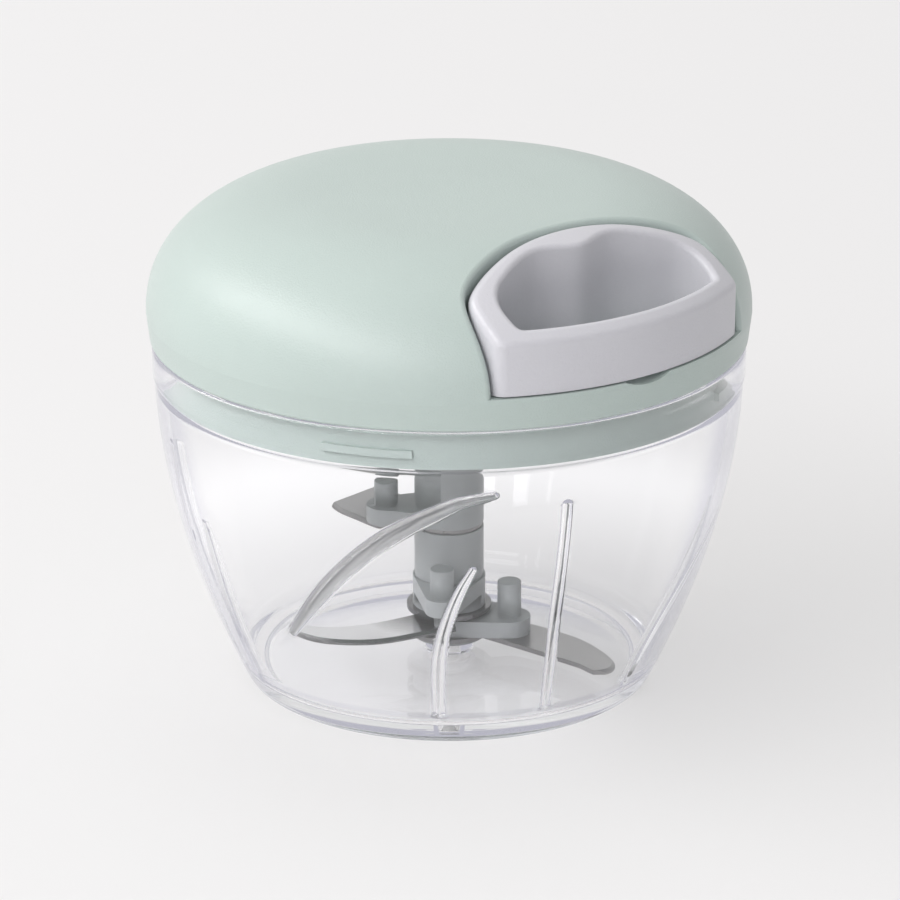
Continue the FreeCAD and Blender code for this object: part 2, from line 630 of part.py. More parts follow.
def pull_handle():
    """Handle with a finger hole, rounded upper edges and a pocket for the cord's knot."""
    edge_r = LID_R + HANDLE_CROWN_OUT
    crown = crown_curve(edge_r, HANDLE_RISE, HANDLE_POWER, HANDLE_CROWN_H)
    roof = lathe([(0, BOWL_RIM_Z), (edge_r, BOWL_RIM_Z), crown])
    body = handle_space(0, HANDLE_LOW_Z).common(disc(HANDLE_R, 0, FAR)).common(roof)
    end = HOLE_HALF[-1]
    front = Part.Arc(Vector(end[0], end[1] - LID_R, 0), Vector(0, -HOLE_FRONT, 0),
                     Vector(-end[0], end[1] - LID_R, 0)).toShape()
    back = Part.BSplineCurve()
    back.interpolate([Vector(x, y, 0) for x, y in mirrored(HOLE_HALF)])
    hole = Part.Face(Part.Wire([back.toShape(), front])).extrude(Vector(0, 0, FAR))
    hole = hole.makeFillet(HOLE_CORNER, [edge for edge in hole.Edges if edge.BoundBox.ZLength > LID_R])
    corners = [edge for edge in body.Edges if edge.BoundBox.YLength < CLEAR
               and edge.BoundBox.XLength < CLEAR]
    body = body.makeFillet(HANDLE_CORNER, corners)
    body = body.makeFillet(HANDLE_ROUND, leaning(body, SIDE_Z + SHOULDER_B / 8))
    body = body.cut(hole)
    mouth = [edge for edge in leaning(body, SIDE_Z + SHOULDER_B / 4) if on_wall(edge, hole)]
    body = body.makeFillet(HOLE_ROUND, mouth)
    pocket = disc(KNOT_R + CLEAR, 0, CORD_Z + KNOT_R + CLEAR, Vector(0, -KNOT_AT, 0))
    bore = Part.makeCylinder(CORD_R + SNUG, KNOT_DEPTH + 1,
                             Vector(0, -KNOT_AT, CORD_Z), Vector(0, 1, 0))
    return body.cut(pocket).cut(bore)


def cord_knot():
    """Knot that stops the cord in the handle's pocket."""
    return Part.makeSphere(KNOT_R, Vector(0, -KNOT_AT, CORD_Z))


def cord_lead():
    """Straight stretch of cord from the eyelet to the knot."""
    start = -RECESS_INSIDE + EYELET_FLANGE_H
    length = KNOT_AT - math.sqrt(KNOT_R ** 2 - CORD_R ** 2) + start
    tube = Part.makeCylinder(CORD_R, length, Vector(0, start, CORD_Z), Vector(0, -1, 0))
    return tube.cut(cord_knot())


def cord_bend():
    """Angle of the cord's bend inside the eyelet, from the drum's tangent to the pull line."""
    reach = RECESS_INSIDE - EYELET_FLANGE_H
    tilt = math.atan2(CORD_BEND, reach)
    return math.asin((SPOOL_R + CORD_BEND) / math.hypot(reach, CORD_BEND)) - tilt


def tangent_point():
    """Point where the cord leaves the drum."""
    turn = cord_bend()
    reach = RECESS_INSIDE - EYELET_FLANGE_H
    bend = Vector(-CORD_BEND * (1 - math.cos(turn)), -reach + CORD_BEND * math.sin(turn), CORD_Z)
    along = Vector(math.sin(turn), -math.cos(turn), 0)
    return bend - along * (bend.x * along.x + bend.y * along.y), bend


def swept_cord(edges):
    """Round cord along a chain of edges."""
    start = edges[0].valueAt(edges[0].FirstParameter)
    along = edges[0].tangentAt(edges[0].FirstParameter)
    section = Part.Wire(Part.makeCircle(CORD_R, start, along))
    return Part.Wire(edges).makePipeShell([section], True, False)


def on_drum(turn, z):
    """Point on the cord's line on the drum, by degrees back from where the cord leaves it."""
    leave = tangent_point()[0]
    at = math.atan2(leave.y, leave.x) - math.radians(turn)
    return Vector(SPOOL_R * math.cos(at), SPOOL_R * math.sin(at), z)


def cord_run():
    """First turn of cord on the drum and its stretch round the bend into the eyelet."""
    leave, bend = tangent_point()
    end = Vector(0, -RECESS_INSIDE + EYELET_FLANGE_H, CORD_Z)
    half = cord_bend() / 2
    middle = Vector(-CORD_BEND * (1 - math.cos(half)), end.y + CORD_BEND * math.sin(half), CORD_Z)
    first = Part.Arc(on_drum(CORD_FIRST_TURN, CORD_Z), on_drum(CORD_FIRST_TURN / 2, CORD_Z), leave)
    return swept_cord([first.toShape(), Part.makeLine(leave, bend),
                       Part.Arc(bend, middle, end).toShape()])


def cord_winding():
    """Outer turns of cord in one layer on the drum, each drawn as a level ring."""
    leave = tangent_point()[0]
    start = math.degrees(math.atan2(leave.y, leave.x))
    rings = []
    for i, span in enumerate(CORD_TURNS):
        level = CORD_Z + 2 * CORD_R + CLEAR + i * CORD_PITCH
        turn = Part.makeTorus(SPOOL_R, CORD_R, Vector(0, 0, level), Vector(0, 0, 1), 0, 360, span)
        rings.append(turned(turn, start - span))
    return Part.makeCompound(rings)


def cord_reel():
    """Drum with its web, lower flange and spring chamber."""
    inner = DRUM_R - DRUM_WALL
    return lathe([(JOURNAL_R + BEARING, WEB_Z), (DRUM_R, WEB_Z),
                  (DRUM_R, FLANGE_TOP_Z - REEL_FLANGE_H), (REEL_FLANGE_R, FLANGE_TOP_Z - REEL_FLANGE_H),
                  (REEL_FLANGE_R, FLANGE_TOP_Z), (DRUM_R, FLANGE_TOP_Z), (DRUM_R, CAP_Z),
                  (inner, CAP_Z), (inner, WEB_TOP_Z), (JOURNAL_R + BEARING, WEB_TOP_Z)]).cut(
                      pawl_pin_shanks())


def pawl_places():
    """Pivots of the pawls and the turn of each pawl."""
    for i in range(PAWLS):
        turn = i * 360.0 / PAWLS
        yield turn, point(PAWL_PIVOT_R, turn - PAWL_PIVOT_ANGLE)


def pawl_pin_shanks():
    """Shanks of the pins that carry the pawls under the reel."""
    return Part.makeCompound([disc(PAWL_PIN_R, RATCHET_Z, WEB_TOP_Z, at)
                              for _, at in pawl_places()])


def pawl_pins():
    """Headed pins pressed into the reel's web."""
    return Part.makeCompound([disc(PAWL_PIN_R, RATCHET_Z, WEB_TOP_Z, at).fuse(
        disc(PAWL_HEAD_R, RATCHET_Z - PAWL_HEAD_H, RATCHET_Z, at)) for _, at in pawl_places()])


def reel_cap():
    """Upper flange that closes the spring chamber and turns on the arbor."""
    inner = ARBOR_R + BEARING
    spigot = DRUM_R - DRUM_WALL
    return lathe([(inner, CAP_Z - REEL_SPIGOT_H), (spigot, CAP_Z - REEL_SPIGOT_H), (spigot, CAP_Z),
                  (REEL_FLANGE_R, CAP_Z), (REEL_FLANGE_R, REEL_TOP_Z), (inner, REEL_TOP_Z)])


def ratchet_wheel():
    """Saw-toothed wheel pressed on the drive shaft; its steep faces are driven."""
    step = 360.0 / RATCHET_TEETH
    marks = []
    for i in range(RATCHET_TEETH):
        marks.append(point(RATCHET_ROOT_R, i * step, RATCHET_Z))
        marks.append(point(RATCHET_TIP_R, i * step, RATCHET_Z))
    wheel = raised(Part.Face(Part.makePolygon(marks + marks[:1])), RATCHET_H)
    return wheel.cut(disc(SHAFT_R, 0, FAR))


def pawl(turn):
    """Tapered pawl whose tip stands in a tooth gap."""
    low = RATCHET_Z + 2 * CLEAR
    marks = [point(RATCHET_ROOT_R + height, angle, low) for height, angle in PAWL_OUTER]
    marks.append(point(PAWL_PIVOT_R + PAWL_EYE_R - CLEAR, -PAWL_PIVOT_ANGLE, low))
    marks.append(point(PAWL_PIVOT_R - PAWL_EYE_R, -PAWL_PIVOT_ANGLE, low))
    marks += [point(RATCHET_ROOT_R + height, angle, low) for height, angle in PAWL_INNER[::-1]]
    lever = raised(Part.Face(Part.makePolygon(marks + marks[:1])), PAWL_H)
    at = point(PAWL_PIVOT_R, -PAWL_PIVOT_ANGLE)
    body = lever.fuse(disc(PAWL_EYE_R, low, low + PAWL_H, at))
    return turned(body.cut(disc(PAWL_PIN_R + BEARING, 0, FAR, at)), turn)


def drive_shaft():
    """Shaft with a hexagonal foot, a flange under the lid and a journal for the reel."""
    top = WEB_TOP_Z + CLIP_H + CLEAR
    foot = hexagon(HEX_FLATS, HEX_Z, SHAFT_FLANGE_Z)
    flange = disc(SHAFT_FLANGE_R, SHAFT_FLANGE_Z, SHAFT_FLANGE_Z + SHAFT_FLANGE_H)
    shaft = disc(SHAFT_R, SHAFT_FLANGE_Z + SHAFT_FLANGE_H, RATCHET_TOP_Z)
    journal = disc(JOURNAL_R, RATCHET_TOP_Z, top)
    body = foot.multiFuse([flange, shaft, journal])
    return body.cut(ring(SHAFT_R, JOURNAL_R - CLIP_GROOVE, WEB_TOP_Z + SNUG,
                         WEB_TOP_Z + SNUG + CLIP_H))


def shaft_clip():
    """Open clip in the journal's groove above the reel."""
    clip = ring(CLIP_R, JOURNAL_R - CLIP_GROOVE, WEB_TOP_Z + SNUG, WEB_TOP_Z + SNUG + CLIP_H)
    mouth = Part.makeBox(2 * CLIP_R, JOURNAL_R, FAR, Vector(0, -JOURNAL_R / 2, 0))
    return clip.cut(mouth)


def tower_core():
    """Tube through the tower, widened at the top to hold the drive socket."""
    socket = TOWER_CORE_R
    return lathe([(TOWER_BORE_R, TOWER_Z), (TOWER_CORE_R, TOWER_Z), (TOWER_CORE_R, TOWER_HEAD_Z),
                  (TOWER_HEAD_R, TOWER_HEAD_Z), (TOWER_HEAD_R, TOWER_TOP_Z), (socket, TOWER_TOP_Z),
                  (socket, HEX_Z - CLEAR), (TOWER_BORE_R, HEX_Z - CLEAR)])


def drive_socket():
    """Socket pressed into the tower's head for the shaft's hexagonal foot."""
    body = disc(TOWER_CORE_R, HEX_Z - CLEAR, TOWER_TOP_Z)
    return body.cut(hexagon(HEX_FLATS + 2 * CLEAR, HEX_Z - 1, FAR))


def pivot_bush():
    """Bush in the tower's foot that turns on the bowl's pin."""
    return ring(TOWER_BORE_R, PIN_R + BEARING, TOWER_Z, FLOOR_TOP_Z + PIN_BUSH_H)


def tower_nut():
    """Ring that closes the stack from below."""
    return ring(TOWER_COLLAR_R, TOWER_CORE_R, TOWER_Z, LOWER_BLADE_Z)


def arm(hub_r, low, hub_h, arm_low, end_r, peg_h, angle):
    """Hub on the tower's core with one arm, its peg and the rivet that holds the blade."""
    hub = disc(hub_r, low, low + hub_h)
    lean = math.asin((hub_r - end_r) / ARM_REACH)
    sides = [Vector(at + radius * math.sin(lean), side * radius * math.cos(lean), arm_low)
             for at, radius, side in ((0, hub_r, -1), (ARM_REACH, end_r, -1), (ARM_REACH, end_r, 1),
                                      (0, hub_r, 1))]
    bar = raised(Part.Face(Part.makePolygon(sides + sides[:1])), ARM_H)
    end = disc(end_r, arm_low, arm_low + ARM_H, Vector(ARM_REACH, 0, 0))
    peg = disc(PEG_R, arm_low, arm_low + ARM_H + peg_h, Vector(ARM_REACH, 0, 0))
    top = [edge for edge in peg.Edges if edge.BoundBox.ZMin > arm_low + ARM_H]
    peg = peg.makeFillet(CLEAR, top)
    rivet = disc(RIVET_R, low - BLADE_T, arm_low + ARM_H, Vector(ARM_REACH, 0, 0))
    body = hub.multiFuse([bar, end, peg, rivet]).cut(disc(TOWER_CORE_R, 0, FAR))
    return turned(body, angle - 90.0)


def lower_arm():
    """Lowest hub and arm."""
    return arm(TOWER_COLLAR_R, LOWER_HUB_Z, LOWER_HUB_H, LOWER_HUB_Z, ARM_END_R, LOWER_PEG_H,
               LOWER_ARM_ANGLE)


def middle_arm():
    """Middle collar and arm."""
    low = MIDDLE_HUB_Z + MIDDLE_HUB_H - ARM_H
    return arm(TOWER_COLLAR_R, MIDDLE_HUB_Z, MIDDLE_HUB_H, low, MIDDLE_ARM_END_R, MIDDLE_PEG_H,
               MIDDLE_ARM_ANGLE)


def tower_sleeve():
    """Plain sleeve between the middle collar and the upper blade."""
    return ring(TOWER_SLEEVE_R, TOWER_CORE_R, SLEEVE_Z, UPPER_BLADE_Z)


def upper_arm():
    """Upper sleeve with its arm, up to the tower's head."""
    return arm(TOWER_SLEEVE_R, UPPER_HUB_Z, TOWER_HEAD_Z - UPPER_HUB_Z, UPPER_HUB_Z,
               UPPER_ARM_END_R, UPPER_PEG_H, UPPER_ARM_ANGLE)


def blade(front, tip, back, low, angle, root_r):
    """Flat blade round the tower with a ground leading edge."""
    stretch = (BOWL_FOOT_R - BLADE_GAP) / BLADE_DRAWN_R
    front, back = ([Vector(x * stretch, y * stretch, low) for x, y in run] for run in (front, back))
    outline = [front, Vector(tip[0] * stretch, tip[1] * stretch, low), back, Vector(0, 0, low)]
    leaf = raised(Part.Face(chain(outline)), BLADE_T)
    spline = Part.BSplineCurve()
    spline.interpolate(front)
    middle = spline.toShape().CenterOfMass + Vector(0, 0, BLADE_T)
    ground = [edge for edge in leaf.Edges if edge.CenterOfMass.distanceToPoint(middle) < SNUG]
    leaf = leaf.makeChamfer(BLADE_EDGE, ground)
    root = disc(root_r, low, low + BLADE_T)
    body = leaf.fuse(root).cut(disc(TOWER_CORE_R, 0, FAR))
    body = body.cut(disc(RIVET_R, 0, FAR, Vector(ARM_REACH, 0, 0)))
    return turned(body, angle - 90.0)


def main():
    """Write every sub-part."""
    os.makedirs("parts", exist_ok=True)
    for make in (bowl, pivot_pin, lid_seal, lid_base, top_cover, cover_screws, mechanism_bridge,
                 bridge_screws, spring_arbor, mainspring, cord_eyelet, shaft_bush, shaft_washer,
                 pull_handle, cord_knot, cord_lead, cord_run, cord_winding, cord_reel, reel_cap,
                 pawl_pins, ratchet_wheel, drive_shaft, shaft_clip, tower_core, drive_socket,
                 pivot_bush, tower_nut, lower_arm, middle_arm, tower_sleeve, upper_arm):
        save(make(), make.__name__)
    for i in range(PAWLS):
        save(pawl(i * 360.0 / PAWLS), "pawl_" + str(i + 1))
    save(blade(LOWER_FRONT, LOWER_TIP, LOWER_BACK, LOWER_BLADE_Z, LOWER_ARM_ANGLE, BLADE_ROOT_R),
         "lower_blade")
    save(blade(MIDDLE_FRONT, MIDDLE_TIP, MIDDLE_BACK, MIDDLE_BLADE_Z, MIDDLE_ARM_ANGLE, BLADE_ROOT_R),
         "middle_blade")
    save(blade(UPPER_FRONT, UPPER_TIP, UPPER_BACK, UPPER_BLADE_Z, UPPER_ARM_ANGLE, BLADE_SEAT_R),
         "upper_blade")


main()
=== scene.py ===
# %% [markdown]
# This lesson dresses a pull-string food chopper. The clear bowl, the mint lid, the pale pull
# handle and the blade tower are seen together, so each needs its own finish.
# The first cell loads the measured frame. Every new piece is placed by the frame's own sizes.

# %% Load the frame
import bpy
import bmesh
import json
import math
from mathutils import Matrix, Vector
from mathutils.kdtree import KDTree


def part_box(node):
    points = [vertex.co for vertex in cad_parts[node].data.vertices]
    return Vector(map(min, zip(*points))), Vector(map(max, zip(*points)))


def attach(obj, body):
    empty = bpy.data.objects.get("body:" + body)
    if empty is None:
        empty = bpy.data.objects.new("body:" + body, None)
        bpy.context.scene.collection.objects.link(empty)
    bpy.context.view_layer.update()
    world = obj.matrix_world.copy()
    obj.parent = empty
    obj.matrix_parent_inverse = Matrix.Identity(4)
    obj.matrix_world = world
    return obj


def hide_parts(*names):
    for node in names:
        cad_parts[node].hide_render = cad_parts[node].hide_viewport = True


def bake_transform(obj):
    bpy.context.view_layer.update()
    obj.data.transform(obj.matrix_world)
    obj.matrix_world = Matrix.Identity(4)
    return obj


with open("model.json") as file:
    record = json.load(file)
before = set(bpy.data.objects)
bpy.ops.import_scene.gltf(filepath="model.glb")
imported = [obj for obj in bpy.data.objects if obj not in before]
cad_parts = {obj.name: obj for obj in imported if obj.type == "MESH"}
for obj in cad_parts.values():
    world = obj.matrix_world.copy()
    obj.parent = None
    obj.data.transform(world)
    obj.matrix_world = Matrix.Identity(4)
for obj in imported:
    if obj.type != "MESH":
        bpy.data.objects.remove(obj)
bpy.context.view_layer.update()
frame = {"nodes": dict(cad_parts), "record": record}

MM = 0.001

# %% [markdown]
# The camera stands where the photographer stood: left of the pull direction and about twenty
# degrees above the table, with a long lens that keeps the bowl's walls nearly parallel.
# A small lens shift puts the chopper slightly above the middle without tilting the view.

# %% Camera
CAMERA_TURN = math.radians(-39.0)
CAMERA_RAISE = math.radians(20.2)
CAMERA_AWAY = 0.9
AIM = Vector((0.0, 0.0, 0.048))
camera_data = bpy.data.cameras.new("camera")
camera_data.lens = 179.6
camera_data.sensor_width = 36.0
camera_data.shift_x = 0.001
camera_data.shift_y = -0.0124
camera = bpy.data.objects.new("camera", camera_data)
bpy.context.scene.collection.objects.link(camera)
outward = Vector((math.sin(CAMERA_TURN) * math.cos(CAMERA_RAISE),
                  -math.cos(CAMERA_TURN) * math.cos(CAMERA_RAISE), math.sin(CAMERA_RAISE)))
camera.location = AIM + outward * CAMERA_AWAY
camera.rotation_euler = outward.to_track_quat("Z", "Y").to_euler()
bpy.context.scene.camera = camera
print("camera at", [round(v, 3) for v in camera.location])

# %% [markdown]
# The table is pale and runs out of sight behind the chopper. One large sheet makes it. Part of its
# brightness is its own as the camera, gloss and clear plastic see it, so it stays even from edge
# to edge, while the rest is lit by the lamps and takes the chopper's shadow.
# Seen through the bowl, the table's own brightness is painted a little darker under the foot and
# brighter just behind it: a painted shadow and a painted pool of the light that clear walls let
# through. To the camera its own brightness rises a little away from the foot.

# %% Table
scene = bpy.context.scene
scene.view_settings.view_transform = "Standard"
TABLE_TONE = 0.84
TABLE_LIT_TONE = (0.40, 0.395, 0.395, 1)
TABLE_OWN_TONE = (0.46, 0.4554, 0.4531, 1)
TABLE_HALF_SIZE = 4.0


def plain_nodes(name):
    """New node material with its nodes and links."""
    material = bpy.data.materials.new(name)
    material.use_nodes = True
    return material, material.node_tree.nodes, material.node_tree.links


def seen(nodes, links):
    """One for rays that come from the camera, from gloss or through clear plastic."""
    path = nodes.new("ShaderNodeLightPath")
    total = path.outputs["Is Camera Ray"]
    for kind in ("Is Glossy Ray", "Is Transmission Ray"):
        join = nodes.new("ShaderNodeMath")
        join.operation = "MAXIMUM"
        links.new(total, join.inputs[0])
        links.new(path.outputs[kind], join.inputs[1])
        total = join.outputs[0]
    return total


floor_mesh = bpy.data.meshes.new("floor")
sheet = bmesh.new()
bmesh.ops.create_grid(sheet, x_segments=1, y_segments=1, size=TABLE_HALF_SIZE)
sheet.to_mesh(floor_mesh)
sheet.free()
floor = bpy.data.objects.new("floor", floor_mesh)
scene.collection.objects.link(floor)
floor_paint, nodes, links = plain_nodes("floor_paint")
plain = nodes["Principled BSDF"]
plain.inputs["Base Color"].default_value = (TABLE_TONE, TABLE_TONE, TABLE_TONE, 1)
plain.inputs["Roughness"].default_value = 0.9
plain.inputs["Specular IOR Level"].default_value = 0.1
half_lit = nodes.new("ShaderNodeBsdfDiffuse")
half_lit.inputs["Color"].default_value = TABLE_LIT_TONE
own = nodes.new("ShaderNodeEmission")
own.inputs["Color"].default_value = TABLE_OWN_TONE
place = nodes.new("ShaderNodeTexCoord")
away = nodes.new("ShaderNodeVectorMath")
away.operation = "LENGTH"
links.new(place.outputs["Object"], away.inputs[0])


def by_distance(near, far, start, end):
    """Strength that changes smoothly with the distance from the foot."""
    spread = nodes.new("ShaderNodeMapRange")
    spread.interpolation_type = "SMOOTHSTEP"
    for key, value in (("From Min", start), ("From Max", end), ("To Min", near), ("To Max", far)):
        spread.inputs[key].default_value = value
    links.new(away.outputs["Value"], spread.inputs["Value"])
    return spread.outputs["Result"]


# Painted shadow and painted light: the table's own brightness is set by the distance from the foot.
path = nodes.new("ShaderNodeLightPath")
painted_floor_light_and_shade = nodes.new("ShaderNodeMix")
links.new(path.outputs["Is Transmission Ray"], painted_floor_light_and_shade.inputs["Factor"])
links.new(by_distance(0.955, 1.035, 0.1, 0.8), painted_floor_light_and_shade.inputs["A"])
through = nodes.new("ShaderNodeMath")
through.operation = "MULTIPLY"
links.new(by_distance(0.85, 1.45, 0.045, 0.13), through.inputs[0])
links.new(by_distance(1.0, 0.66, 0.105, 0.15), through.inputs[1])
links.new(through.outputs[0], painted_floor_light_and_shade.inputs["B"])
links.new(painted_floor_light_and_shade.outputs["Result"], own.inputs["Strength"])
both = nodes.new("ShaderNodeAddShader")
links.new(half_lit.outputs["BSDF"], both.inputs[0])
links.new(own.outputs["Emission"], both.inputs[1])
choice = nodes.new("ShaderNodeMixShader")
links.new(seen(nodes, links), choice.inputs["Fac"])
links.new(plain.outputs["BSDF"], choice.inputs[1])
links.new(both.outputs["Shader"], choice.inputs[2])
links.new(choice.outputs["Shader"], nodes["Material Output"].inputs["Surface"])
floor_mesh.materials.append(floor_paint)
print("table", TABLE_HALF_SIZE * 2, "metres wide")

# %% [markdown]
# The world is bright behind the chopper and darker on the camera's side. Clear plastic has hardly
# any colour, so those darker parts, bent round its edges, are what draws the bowl. It is a little
# brighter to gloss and clear plastic than as a light, so that the mint lid keeps its colour.

# %% World
WORLD_AS_LIGHT = 0.555
WORLD_AS_SEEN = 0.74
WORLD_DARK = (0.50, 0.50, 0.56, 1)
WORLD_BRIGHT = (1.0, 1.0, 1.0, 1)
BRIGHT_SIDE = (0.62, 0.72, 0.30)
world = bpy.data.worlds.new("studio")
scene.world = world
world.use_nodes = True
nodes, links = world.node_tree.nodes, world.node_tree.links
sky = nodes["Background"]
strength = nodes.new("ShaderNodeMapRange")
strength.inputs["To Min"].default_value = WORLD_AS_LIGHT
strength.inputs["To Max"].default_value = WORLD_AS_SEEN
links.new(seen(nodes, links), strength.inputs["Value"])
links.new(strength.outputs["Result"], sky.inputs["Strength"])
place = nodes.new("ShaderNodeTexCoord")
towards = nodes.new("ShaderNodeVectorMath")
towards.operation = "DOT_PRODUCT"
towards.inputs[1].default_value = BRIGHT_SIDE
links.new(place.outputs["Generated"], towards.inputs[0])
shade = nodes.new("ShaderNodeMapRange")
shade.interpolation_type = "SMOOTHSTEP"
shade.inputs["From Min"].default_value = -0.9
shade.inputs["From Max"].default_value = 0.35
links.new(towards.outputs["Value"], shade.inputs["Value"])
tones = nodes.new("ShaderNodeMix")
tones.data_type = "RGBA"
tones.inputs["A"].default_value = WORLD_DARK
tones.inputs["B"].default_value = WORLD_BRIGHT
links.new(shade.outputs["Result"], tones.inputs["Factor"])
links.new(tones.outputs["Result"], sky.inputs["Color"])
print("world", WORLD_AS_LIGHT, "as a light and", WORLD_AS_SEEN, "as seen in gloss and clear plastic")

# %% [markdown]
# A long window on the left draws the highlight along the lid's shoulder. A weak soft box left of
# the camera fills the handle and the lid's front, and one overhead keeps the top from going dull.
# The window and the overhead box aren't seen through the bowl, where they would show as white bars.

# %% Lamps


def lamp(name, turn, rise, away, width, height, power):
    """Rectangular soft box that faces the chopper, placed by degrees round and above it."""
    data = bpy.data.lights.new(name, "AREA")
    data.shape = "RECTANGLE"
    data.size = width
    data.size_y = height
    data.energy = power
    box = bpy.data.objects.new(name, data)
    turn, rise = math.radians(turn), math.radians(rise)
    where = Vector((math.sin(turn) * math.cos(rise), -math.cos(turn) * math.cos(rise), math.sin(rise)))
    box.location = AIM + where * away
    box.rotation_euler = where.to_track_quat("Z", "Y").to_euler()
    scene.collection.objects.link(box)
    return box


window = lamp("side_window", -112, 42, 1.5, 2.4, 0.3, 19)
window.visible_transmission = False
lamp("front_fill", -58, 26, 1.9, 1.4, 1.1, 9)
overhead = lamp("overhead", 150, 72, 1.6, 1.0, 1.0, 4)
overhead.visible_glossy = False
overhead.visible_transmission = False

# %% [markdown]
# Moulded plastic is rarely mirror smooth. The mint lid comes from a spark-eroded mould, which
# leaves a fine even grain. A noise texture on the piece's own coordinates drives a bump for the
# grain and a little of the roughness, so that highlights break up softly.

# %% Moulded plastic


def noise(nodes, links, scale, detail=2.0, rough=0.5):
    """Noise that sits on the piece's own coordinates."""
    place = nodes.new("ShaderNodeTexCoord")
    texture = nodes.new("ShaderNodeTexNoise")
    texture.inputs["Scale"].default_value = scale
    texture.inputs["Detail"].default_value = detail
    texture.inputs["Roughness"].default_value = rough
    links.new(place.outputs["Object"], texture.inputs["Vector"])
    return texture


def ramp(nodes, links, source, low, high):
    """Map a 0 to 1 source onto a range."""
    spread = nodes.new("ShaderNodeMapRange")
    spread.inputs["To Min"].default_value = low
    spread.inputs["To Max"].default_value = high
    links.new(source, spread.inputs["Value"])
    return spread.outputs["Result"]


def bump(nodes, links, source, shader, strength, distance):
    """Raise the surface by a 0 to 1 source."""
    relief = nodes.new("ShaderNodeBump")
    relief.inputs["Strength"].default_value = strength
    relief.inputs["Distance"].default_value = distance
    links.new(source, relief.inputs["Height"])
    links.new(relief.outputs["Normal"], shader.inputs["Normal"])


GRAIN_DEPTH = 0.0001


def plastic(name, colour, rough, grain, grain_scale, vary=0.03):
    """Moulded plastic with a grain, a small colour drift and uneven gloss."""
    material, nodes, links = plain_nodes(name)
    shader = nodes["Principled BSDF"]
    drift = noise(nodes, links, 45.0)
    blend = nodes.new("ShaderNodeMix")
    blend.data_type = "RGBA"
    blend.inputs["A"].default_value = tuple(c * (1 - vary) for c in colour) + (1,)
    blend.inputs["B"].default_value = tuple(min(1, c * (1 + vary)) for c in colour) + (1,)
    links.new(drift.outputs["Fac"], blend.inputs["Factor"])
    links.new(blend.outputs["Result"], shader.inputs["Base Color"])
    fine = noise(nodes, links, grain_scale, 3.0, 0.6)
    links.new(ramp(nodes, links, fine.outputs["Fac"], rough - 0.08, rough + 0.08),
              shader.inputs["Roughness"])
    bump(nodes, links, fine.outputs["Fac"], shader, grain, GRAIN_DEPTH)
    return material


print("grain", GRAIN_DEPTH / MM, "mm deep")

# %% [markdown]
# The blades are ground sheet steel. Fine lines come from a noise that is drawn out along one
# direction. Ground edges catch less light than the flat faces, and the steel under the tower's
# hub is in shade, so both take a darker share of the colour.

# %% Steel
HUB_EDGE = 0.011
HUB_CLEAR = 0.021


def steel(name, colour, rough, stretch=(1, 1, 1), scale=900.0, edge=1.0):
    """Metal with fine lines along the stretched direction.

    Faces that stand upright and the ring round the tower are painted darker by the edge share: painted
    shade.
    """
    material, nodes, links = plain_nodes(name)
    shader = nodes["Principled BSDF"]
    shader.inputs["Metallic"].default_value = 1.0
    facing = nodes.new("ShaderNodeNewGeometry")
    split = nodes.new("ShaderNodeSeparateXYZ")
    level = nodes.new("ShaderNodeMath")
    level.operation = "ABSOLUTE"
    # Painted shade: upright faces and the steel round the hub take the darker colour.
    painted_shade_tone = nodes.new("ShaderNodeMix")
    painted_shade_tone.data_type = "RGBA"
    painted_shade_tone.inputs["A"].default_value = tuple(c * edge for c in colour) + (1,)
    painted_shade_tone.inputs["B"].default_value = (*colour, 1)
    links.new(facing.outputs["Normal"], split.inputs["Vector"])
    links.new(split.outputs["Z"], level.inputs[0])
    links.new(painted_shade_tone.outputs["Result"], shader.inputs["Base Color"])
    place = nodes.new("ShaderNodeTexCoord")
    flat = nodes.new("ShaderNodeVectorMath")
    flat.operation = "MULTIPLY"
    flat.inputs[1].default_value = (1, 1, 0)
    reach = nodes.new("ShaderNodeVectorMath")
    reach.operation = "LENGTH"
    outside_painted_hub_shade = nodes.new("ShaderNodeMapRange")
    outside_painted_hub_shade.inputs["From Min"].default_value = HUB_EDGE
    outside_painted_hub_shade.inputs["From Max"].default_value = HUB_CLEAR
    both = nodes.new("ShaderNodeMath")
    both.operation = "MULTIPLY"
    both.use_clamp = True
    links.new(place.outputs["Object"], flat.inputs[0])
    links.new(flat.outputs["Vector"], reach.inputs[0])
    links.new(reach.outputs["Value"], outside_painted_hub_shade.inputs["Value"])
    links.new(ramp(nodes, links, level.outputs[0], -2.0, 1.05), both.inputs[0])
    links.new(outside_painted_hub_shade.outputs["Result"], both.inputs[1])
    links.new(both.outputs[0], painted_shade_tone.inputs["Factor"])
    turn = nodes.new("ShaderNodeMapping")
    turn.inputs["Scale"].default_value = stretch
    lines = nodes.new("ShaderNodeTexNoise")
    lines.inputs["Scale"].default_value = scale
    links.new(place.outputs["Object"], turn.inputs["Vector"])
    links.new(turn.outputs["Vector"], lines.inputs["Vector"])
    links.new(ramp(nodes, links, lines.outputs["Fac"], rough - 0.06, rough + 0.06),
              shader.inputs["Roughness"])
    bump(nodes, links, lines.outputs["Fac"], shader, 0.2, 0.00005)
    return material


print("blades are darker within", HUB_CLEAR / MM, "mm of the axis")

# %% [markdown]
# The bowl is clear, almost colourless plastic. Where its wall is seen edge-on it is painted
# lavender, a painted reflection of the darker surroundings. A renderer stops after a few
# reflections, which leaves black lines where light is caught inside an edge. Past a few reflections the
# plastic therefore gives a pale lavender of its own.
# Shadow rays pass straight through, or the bowl would stand in the dark of its own walls.

# %% Clear plastic
CLEAR_TONE = (0.985, 0.986, 0.994, 1)
PAINTED_REFLECTION_TONE = (0.22, 0.225, 0.225, 1)
PAINTED_EDGE_TONE = (0.70, 0.70, 0.785, 1)
CAUGHT_TONE = (0.46, 0.46, 0.53, 1)
CAUGHT_AFTER = 3.5


